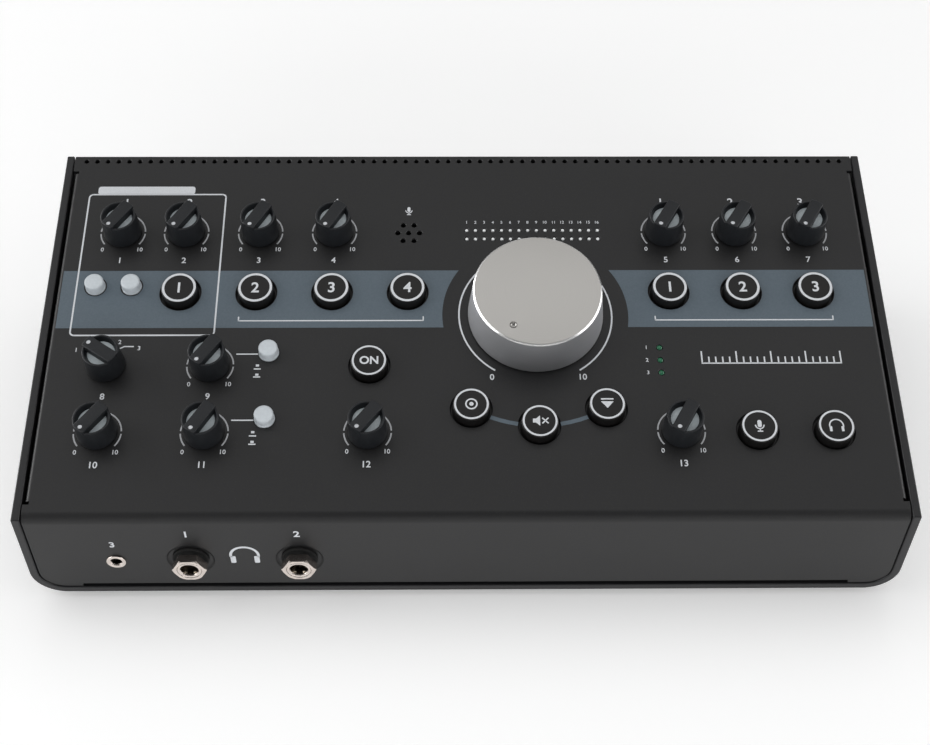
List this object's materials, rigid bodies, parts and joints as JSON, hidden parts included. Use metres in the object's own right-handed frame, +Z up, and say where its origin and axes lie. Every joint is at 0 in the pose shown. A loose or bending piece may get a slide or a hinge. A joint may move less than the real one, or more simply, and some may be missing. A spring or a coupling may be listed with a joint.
{
  "type": "studio monitor controller",
  "caption": "Desktop studio monitor controller: sloped metal case with turning knobs, push buttons, a level meter, headphone sockets in front and line, data and power sockets behind.",
  "frame": {"origin": "on the floor under the feet, in the middle of the outer box", "axes": "+X to the right along the width, +Y to the rear panel, +Z up"},
  "size_m": [0.32, 0.1634, 0.0878],
  "materials": {
    "cover_paint": "fine satin charcoal powder coat",
    "shell_paint": "fine satin charcoal powder coat",
    "rear_paint": "fine satin dark grey powder coat",
    "volume_metal": "turned, clear anodised, bright chamfer",
    "knob_plastic": "satin moulded, fine grain",
    "button_plastic": "satin gloss, moulded",
    "cap_plastic": "smooth pale grey",
    "nut_metal": "nickel plated, turned",
    "socket_plastic": "black moulded",
    "circuit_board": "green solder mask",
    "foot_rubber": "black, matte",
    "lamp_plastic": "translucent lamp lenses",
    "plated_steel": "bright plated",
    "rocker_plastic": "black, satin gloss"
  },
  "bodies": {
    "case": {"top_cover": "cover_paint", "control_board": "circuit_board", "level_meter": "lamp_plastic", "status_lamps": "lamp_plastic", "talkback_mic": "plated_steel", "bottom_shell": "shell_paint", "rear_panel": "rear_paint", "main_board": "circuit_board", "foot_front_left": "foot_rubber", "foot_front_right": "foot_rubber", "foot_rear_left": "foot_rubber", "foot_rear_right": "foot_rubber", "phones_jack_1": "socket_plastic", "phones_nut_1": "nut_metal", "phones_jack_2": "socket_plastic", "phones_nut_2": "nut_metal", "aux_jack": "plated_steel", "line_jacks_1": "socket_plastic", "line_jacks_2": "socket_plastic", "line_jacks_3": "socket_plastic", "line_jacks_4": "socket_plastic", "line_jacks_5": "socket_plastic", "line_jacks_6": "socket_plastic", "combo_jack_1": "socket_plastic", "combo_jack_2": "socket_plastic", "usb_port": "plated_steel", "dc_inlet": "socket_plastic", "power_switch": "socket_plastic"},
    "gain_knob_1": {"gain_knob_1": "knob_plastic"},
    "gain_knob_2": {"gain_knob_2": "knob_plastic"},
    "input_trim_knob_1": {"input_trim_knob_1": "knob_plastic"},
    "input_trim_knob_2": {"input_trim_knob_2": "knob_plastic"},
    "output_trim_knob_1": {"output_trim_knob_1": "knob_plastic"},
    "output_trim_knob_2": {"output_trim_knob_2": "knob_plastic"},
    "output_trim_knob_3": {"output_trim_knob_3": "knob_plastic"},
    "cue_source_knob": {"cue_source_knob": "knob_plastic"},
    "phones_knob_1": {"phones_knob_1": "knob_plastic"},
    "direct_mix_knob": {"direct_mix_knob": "knob_plastic"},
    "phones_knob_2": {"phones_knob_2": "knob_plastic"},
    "studio_level_knob": {"studio_level_knob": "knob_plastic"},
    "talkback_level_knob": {"talkback_level_knob": "knob_plastic"},
    "volume_knob": {"volume_knob": "volume_metal"},
    "source_button_1": {"source_button_1": "button_plastic"},
    "source_button_2": {"source_button_2": "button_plastic"},
    "source_button_3": {"source_button_3": "button_plastic"},
    "source_button_4": {"source_button_4": "button_plastic"},
    "output_button_1": {"output_button_1": "button_plastic"},
    "output_button_2": {"output_button_2": "button_plastic"},
    "output_button_3": {"output_button_3": "button_plastic"},
    "studio_button": {"studio_button": "button_plastic"},
    "mono_button": {"mono_button": "button_plastic"},
    "mute_button": {"mute_button": "button_plastic"},
    "dim_button": {"dim_button": "button_plastic"},
    "talk_to_track_button": {"talk_to_track_button": "button_plastic"},
    "talk_to_cue_button": {"talk_to_cue_button": "button_plastic"},
    "phantom_switch_cap": {"phantom_switch_cap": "cap_plastic"},
    "stereo_switch_cap": {"stereo_switch_cap": "cap_plastic"},
    "phones_switch_cap_1": {"phones_switch_cap_1": "cap_plastic"},
    "phones_switch_cap_2": {"phones_switch_cap_2": "cap_plastic"},
    "power_rocker": {"power_rocker": "rocker_plastic"}
  },
  "joints": [
    {"name": "volume_turn", "type": "hinge", "parent": "case", "child": "volume_knob", "pos_m": [0.0264, 0.00554, 0.06613], "axis": [0, 0.2063, -0.9785], "range_deg": [0, 297]},
    {"name": "power_rock", "type": "hinge", "parent": "case", "child": "power_rocker", "pos_m": [0.128, 0.07796, 0.036], "axis": [-1, 0, 0], "range_deg": [0, 16]},
    {"name": "gain_turn_1", "type": "hinge", "parent": "case", "child": "gain_knob_1", "pos_m": [-0.1335, 0.04283, 0.07399], "axis": [0, 0.2063, -0.9785], "range_deg": [-5, 295]},
    {"name": "gain_turn_2", "type": "hinge", "parent": "case", "child": "gain_knob_2", "pos_m": [-0.1088, 0.04283, 0.07399], "axis": [0, 0.2063, -0.9785], "range_deg": [-3, 297]},
    {"name": "input_trim_turn_1", "type": "hinge", "parent": "case", "child": "input_trim_knob_1", "pos_m": [-0.0799, 0.04283, 0.07399], "axis": [0, 0.2063, -0.9785], "range_deg": [-1, 299]},
    {"name": "input_trim_turn_2", "type": "hinge", "parent": "case", "child": "input_trim_knob_2", "pos_m": [-0.05101, 0.04283, 0.07399], "axis": [0, 0.2063, -0.9785], "range_deg": [-1, 299]},
    {"name": "output_trim_turn_1", "type": "hinge", "parent": "case", "child": "output_trim_knob_1", "pos_m": [0.07788, 0.04283, 0.07399], "axis": [0, 0.2063, -0.9785], "range_deg": [-1, 299]},
    {"name": "output_trim_turn_2", "type": "hinge", "parent": "case", "child": "output_trim_knob_2", "pos_m": [0.10569, 0.04283, 0.07399], "axis": [0, 0.2063, -0.9785], "range_deg": [-3, 297]},
    {"name": "output_trim_turn_3", "type": "hinge", "parent": "case", "child": "output_trim_knob_3", "pos_m": [0.1335, 0.04283, 0.07399], "axis": [0, 0.2063, -0.9785], "range_deg": [0, 300]},
    {"name": "cue_source_turn", "type": "hinge", "parent": "case", "child": "cue_source_knob", "pos_m": [-0.1335, -0.01599, 0.06159], "axis": [0, 0.2063, -0.9785], "range_deg": [0, 90]},
    {"name": "phones_turn_1", "type": "hinge", "parent": "case", "child": "phones_knob_1", "pos_m": [-0.09501, -0.01599, 0.06159], "axis": [0, 0.2063, -0.9785], "range_deg": [-5, 295]},
    {"name": "direct_mix_turn", "type": "hinge", "parent": "case", "child": "direct_mix_knob", "pos_m": [-0.1335, -0.04329, 0.05584], "axis": [0, 0.2063, -0.9785], "range_deg": [-8, 292]},
    {"name": "phones_turn_2", "type": "hinge", "parent": "case", "child": "phones_knob_2", "pos_m": [-0.09501, -0.04329, 0.05584], "axis": [0, 0.2063, -0.9785], "range_deg": [-2, 298]},
    {"name": "studio_level_turn", "type": "hinge", "parent": "case", "child": "studio_level_knob", "pos_m": [-0.036, -0.04329, 0.05584], "axis": [0, 0.2063, -0.9785], "range_deg": [-8.5, 291.5]},
    {"name": "talkback_level_turn", "type": "hinge", "parent": "case", "child": "talkback_level_knob", "pos_m": [0.07788, -0.04329, 0.05584], "axis": [0, 0.2063, -0.9785], "range_deg": [0, 300]},
    {"name": "source_press_1", "type": "slide", "parent": "case", "child": "source_button_1", "axis": [0, 0.2063, -0.9785], "range_m": [0, 0.0016], "stiffness_N_per_m": 150},
    {"name": "source_press_2", "type": "slide", "parent": "case", "child": "source_button_2", "axis": [0, 0.2063, -0.9785], "range_m": [0, 0.0016], "stiffness_N_per_m": 150},
    {"name": "source_press_3", "type": "slide", "parent": "case", "child": "source_button_3", "axis": [0, 0.2063, -0.9785], "range_m": [0, 0.0016], "stiffness_N_per_m": 150},
    {"name": "source_press_4", "type": "slide", "parent": "case", "child": "source_button_4", "axis": [0, 0.2063, -0.9785], "range_m": [0, 0.0016], "stiffness_N_per_m": 150},
    {"name": "output_press_1", "type": "slide", "parent": "case", "child": "output_button_1", "axis": [0, 0.2063, -0.9785], "range_m": [0, 0.0016], "stiffness_N_per_m": 150},
    {"name": "output_press_2", "type": "slide", "parent": "case", "child": "output_button_2", "axis": [0, 0.2063, -0.9785], "range_m": [0, 0.0016], "stiffness_N_per_m": 150},
    {"name": "output_press_3", "type": "slide", "parent": "case", "child": "output_button_3", "axis": [0, 0.2063, -0.9785], "range_m": [0, 0.0016], "stiffness_N_per_m": 150},
    {"name": "studio_press", "type": "slide", "parent": "case", "child": "studio_button", "axis": [0, 0.2063, -0.9785], "range_m": [0, 0.0016], "stiffness_N_per_m": 150},
    {"name": "mono_press", "type": "slide", "parent": "case", "child": "mono_button", "axis": [0, 0.2063, -0.9785], "range_m": [0, 0.0016], "stiffness_N_per_m": 150},
    {"name": "mute_press", "type": "slide", "parent": "case", "child": "mute_button", "axis": [0, 0.2063, -0.9785], "range_m": [0, 0.0016], "stiffness_N_per_m": 150},
    {"name": "dim_press", "type": "slide", "parent": "case", "child": "dim_button", "axis": [0, 0.2063, -0.9785], "range_m": [0, 0.0016], "stiffness_N_per_m": 150},
    {"name": "talk_to_track_press", "type": "slide", "parent": "case", "child": "talk_to_track_button", "axis": [0, 0.2063, -0.9785], "range_m": [0, 0.0016], "stiffness_N_per_m": 150},
    {"name": "talk_to_cue_press", "type": "slide", "parent": "case", "child": "talk_to_cue_button", "axis": [0, 0.2063, -0.9785], "range_m": [0, 0.0016], "stiffness_N_per_m": 150},
    {"name": "phantom_latch", "type": "slide", "parent": "case", "child": "phantom_switch_cap", "axis": [0, 0.2063, -0.9785], "range_m": [0, 0.0022], "stiffness_N_per_m": 150},
    {"name": "stereo_latch", "type": "slide", "parent": "case", "child": "stereo_switch_cap", "axis": [0, 0.2063, -0.9785], "range_m": [0, 0.0022], "stiffness_N_per_m": 150},
    {"name": "phones_latch_1", "type": "slide", "parent": "case", "child": "phones_switch_cap_1", "axis": [0, 0.2063, -0.9785], "range_m": [0, 0.0022], "stiffness_N_per_m": 150},
    {"name": "phones_latch_2", "type": "slide", "parent": "case", "child": "phones_switch_cap_2", "axis": [0, 0.2063, -0.9785], "range_m": [0, 0.0022], "stiffness_N_per_m": 150}
  ]
}
